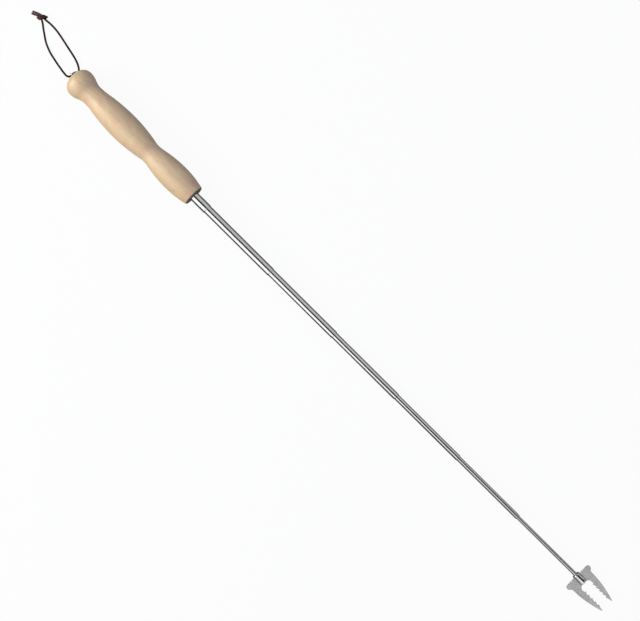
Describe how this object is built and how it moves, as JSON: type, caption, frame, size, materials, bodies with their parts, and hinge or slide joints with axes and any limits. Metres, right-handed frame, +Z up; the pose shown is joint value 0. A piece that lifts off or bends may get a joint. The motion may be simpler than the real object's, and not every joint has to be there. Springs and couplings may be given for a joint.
{
  "type": "telescopic roasting fork",
  "caption": "Hand-held roasting fork: turned wooden handle, telescoping steel rod, flat toothed fork in a slotted socket, and a leather hanging thong.",
  "frame": {"origin": "centre of the handle's front face, on the tool's axis, where the steel leaves the wood", "axes": "+X along the tool's axis from the handle towards the points; the flat fork lies in the XY plane; +Z up from the surface that the tool lies on"},
  "size_m": [0.9551, 0.0468, 0.0382],
  "materials": {
    "beech": "pale turned beech, satin lacquer",
    "eye_wire": "bright drawn steel wire",
    "polished_tube": "polished stainless steel",
    "collar_brass": "plain turned brass",
    "spring_bronze": "spring bronze strip",
    "polished_socket": "polished stainless steel",
    "brushed_sheet": "matt brushed stainless sheet",
    "thong_leather": "dark brown waxed leather lace"
  },
  "bodies": {
    "grip": {"handle": "beech", "tube_1": "polished_tube", "cord_eye": "eye_wire", "thong_left": "thong_leather", "thong_right": "thong_leather", "thong_knot": "thong_leather"},
    "section_2": {"tube_2": "polished_tube", "stop_collar_2": "collar_brass", "grip_spring_2": "spring_bronze"},
    "section_3": {"tube_3": "polished_tube", "stop_collar_3": "collar_brass", "grip_spring_3": "spring_bronze"},
    "section_4": {"tube_4": "polished_tube", "stop_collar_4": "collar_brass", "grip_spring_4": "spring_bronze"},
    "section_5": {"tube_5": "polished_tube", "stop_collar_5": "collar_brass", "grip_spring_5": "spring_bronze"},
    "section_6": {"tube_6": "polished_tube", "stop_collar_6": "collar_brass", "grip_spring_6": "spring_bronze"},
    "section_7_seat": {"stop_collar_7": "collar_brass", "grip_spring_7": "spring_bronze"},
    "fork_head": {"rod": "polished_tube", "fork_socket": "polished_socket", "fork_plate": "brushed_sheet"}
  },
  "joints": [
    {"name": "slide_2", "type": "slide", "parent": "grip", "child": "section_2", "axis": [-1, 0, 0], "range_m": [0, 0.1022]},
    {"name": "slide_3", "type": "slide", "parent": "section_2", "child": "section_3", "axis": [-1, 0, 0], "range_m": [0, 0.1022]},
    {"name": "slide_4", "type": "slide", "parent": "section_3", "child": "section_4", "axis": [-1, 0, 0], "range_m": [0, 0.1002]},
    {"name": "slide_5", "type": "slide", "parent": "section_4", "child": "section_5", "axis": [-1, 0, 0], "range_m": [0, 0.0997]},
    {"name": "slide_6", "type": "slide", "parent": "section_5", "child": "section_6", "axis": [-1, 0, 0], "range_m": [0, 0.0957]},
    {"name": "slide_7", "type": "slide", "parent": "section_6", "child": "section_7_seat", "axis": [-1, 0, 0], "range_m": [0, 0.0927]},
    {"name": "fork_turn", "type": "hinge", "parent": "section_7_seat", "child": "fork_head", "pos_m": [0.61, 0, 0], "axis": [1, 0, 0], "continuous": true}
  ]
}
